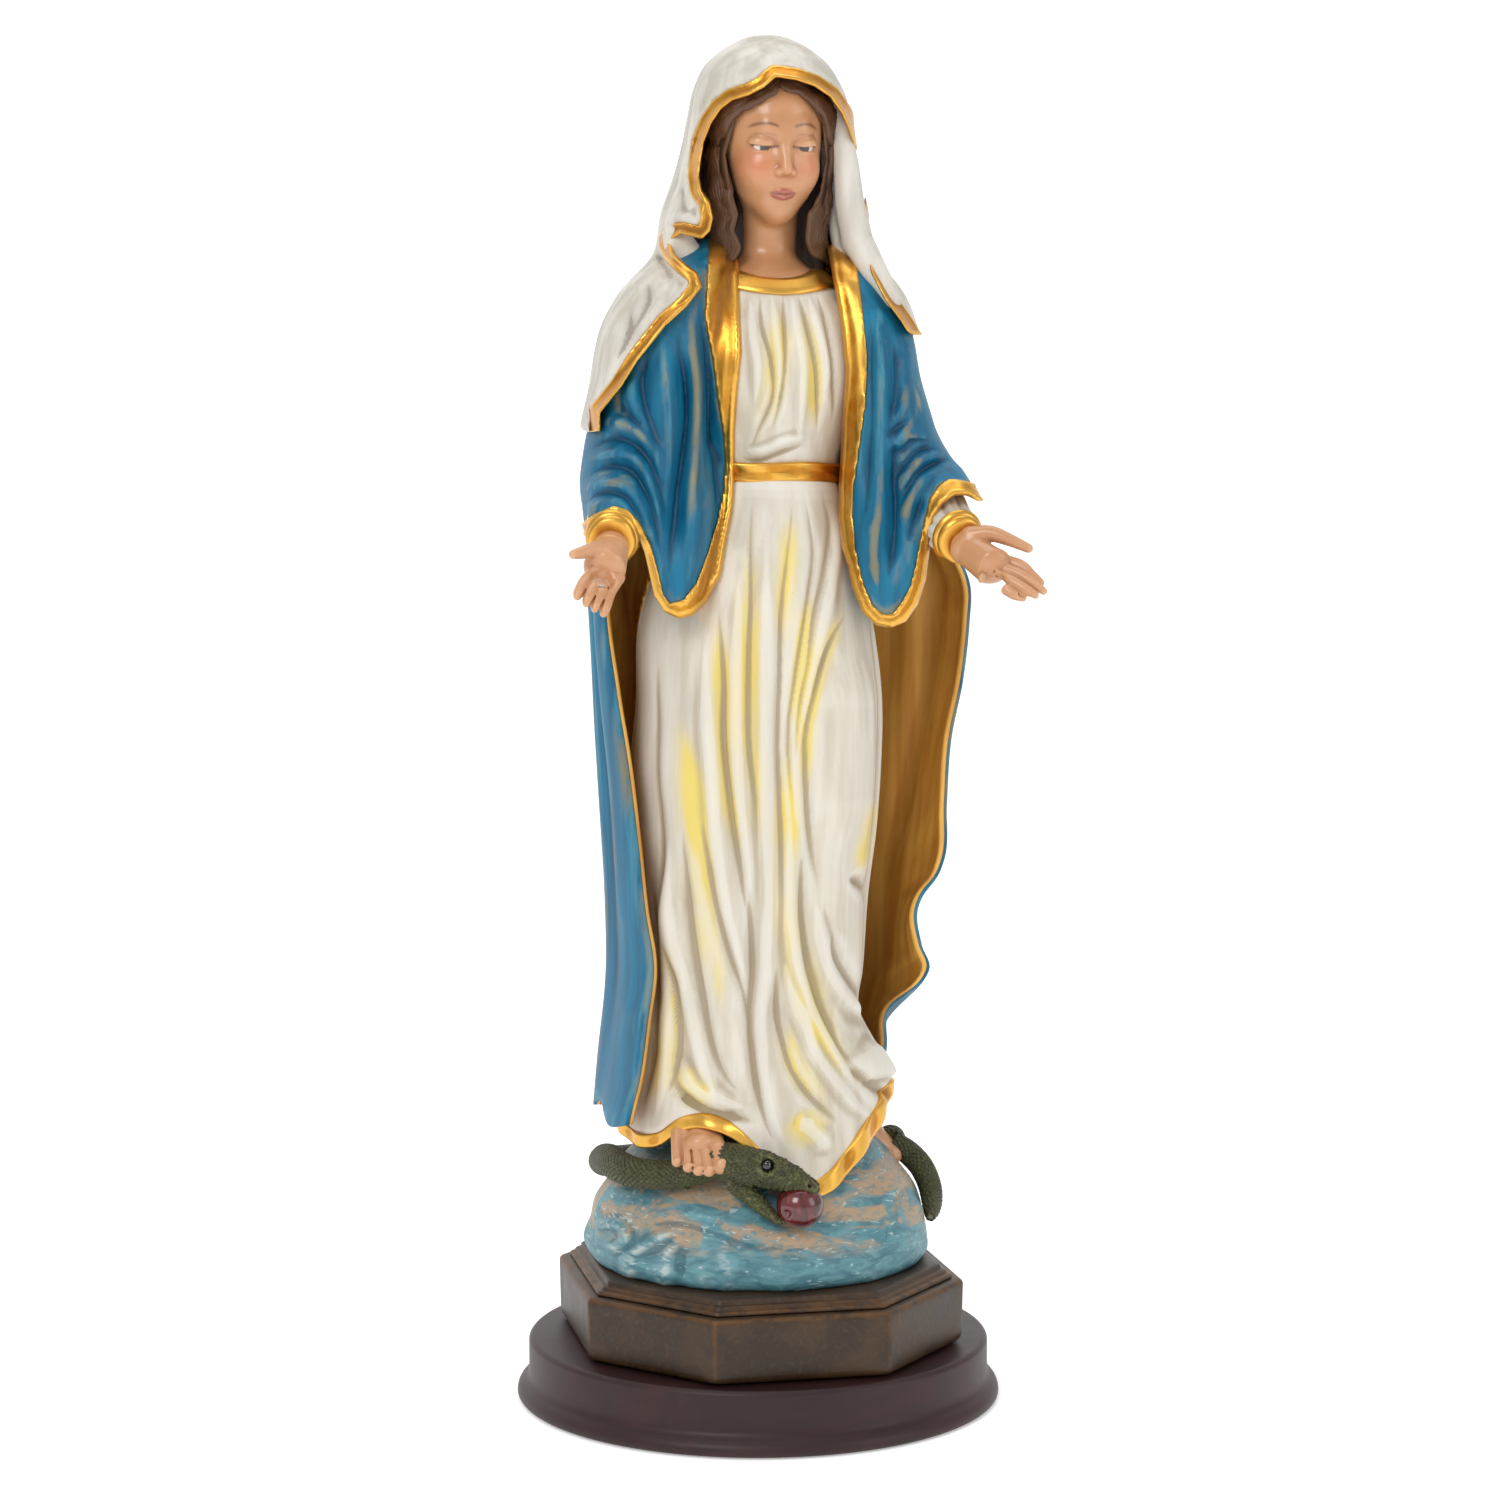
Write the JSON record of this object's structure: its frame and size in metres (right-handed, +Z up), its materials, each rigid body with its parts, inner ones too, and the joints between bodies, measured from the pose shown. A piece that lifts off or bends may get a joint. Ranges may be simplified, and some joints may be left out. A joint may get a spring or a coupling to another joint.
{
  "type": "madonna statue",
  "caption": "Standing robed Madonna with open arms on a globe with a serpent, over a stepped octagonal plinth and a turned wooden base.",
  "frame": {"origin": "centre of the felt under the wooden base, on the surface the statue stands on", "axes": "+Z up the figure, -Y the way the figure faces, +X towards the left hand of the figure"},
  "size_m": [0.2158, 0.2158, 0.6028],
  "materials": {
    "felt": "dark green felt",
    "stained_wood": "dark red-brown stain under satin varnish",
    "steel": "zinc plated",
    "antique_bronze_paint": "dark bronze-brown paint, edges rubbed lighter, satin",
    "sea_paint": "sea blue-green paint, dry-brushed with sand and white, satin",
    "serpent_paint": "dark olive paint, engraving picked out in gold-green, satin",
    "apple_lacquer": "dark red gloss lacquer",
    "skin_lacquer": "flesh-coloured oil paint under a semi-gloss lacquer",
    "cream_paint": "cream paint with lemon washes and grey patina, satin",
    "gold_leaf": "burnished gold leaf, slightly rubbed",
    "blue_paint": "blue paint, dark in the folds and rubbed pale on the ridges, satin",
    "ochre_gilding": "brushed gold paint over brown, soft sheen",
    "white_paint": "off-white paint with a grey-beige patina, satin",
    "hair_paint": "dark brown paint with lighter strands, satin",
    "glass_eye": "glossy painted eye",
    "beech": "plain beech dowel"
  },
  "bodies": {
    "root": {"felt_pad": "felt", "wooden_base": "stained_wood", "base_screw_1": "steel", "base_screw_2": "steel", "plinth": "antique_bronze_paint", "plinth_cap": "antique_bronze_paint", "tie_rod": "steel", "rod_nut": "steel", "rod_washer": "steel", "globe": "sea_paint", "snake_body": "serpent_paint", "snake_neck": "serpent_paint", "snake_head": "serpent_paint", "snake_jaw": "serpent_paint", "snake_tail": "serpent_paint", "apple": "apple_lacquer", "foot_right": "skin_lacquer", "foot_left": "skin_lacquer", "skirt": "cream_paint", "hem_trim": "gold_leaf", "bodice": "cream_paint", "belt": "gold_leaf", "collar": "gold_leaf", "neck_dowel": "beech", "head": "skin_lacquer", "eye_right": "glass_eye", "eye_left": "glass_eye", "hair": "hair_paint", "veil": "white_paint", "veil_trim": "gold_leaf", "mantle_back": "blue_paint", "mantle_lining": "ochre_gilding", "drape_right": "blue_paint", "drape_left": "blue_paint", "drape_trim_right": "gold_leaf", "drape_trim_left": "gold_leaf", "lapel_trim_right": "gold_leaf", "lapel_trim_left": "gold_leaf", "sleeve_right": "white_paint", "sleeve_left": "white_paint", "cuff_inner_right": "gold_leaf", "cuff_outer_right": "gold_leaf", "cuff_inner_left": "gold_leaf", "cuff_outer_left": "gold_leaf", "hand_right": "skin_lacquer", "hand_left": "skin_lacquer", "wrist_dowel_right": "beech", "wrist_dowel_left": "beech"}
  },
  "joints": []
}
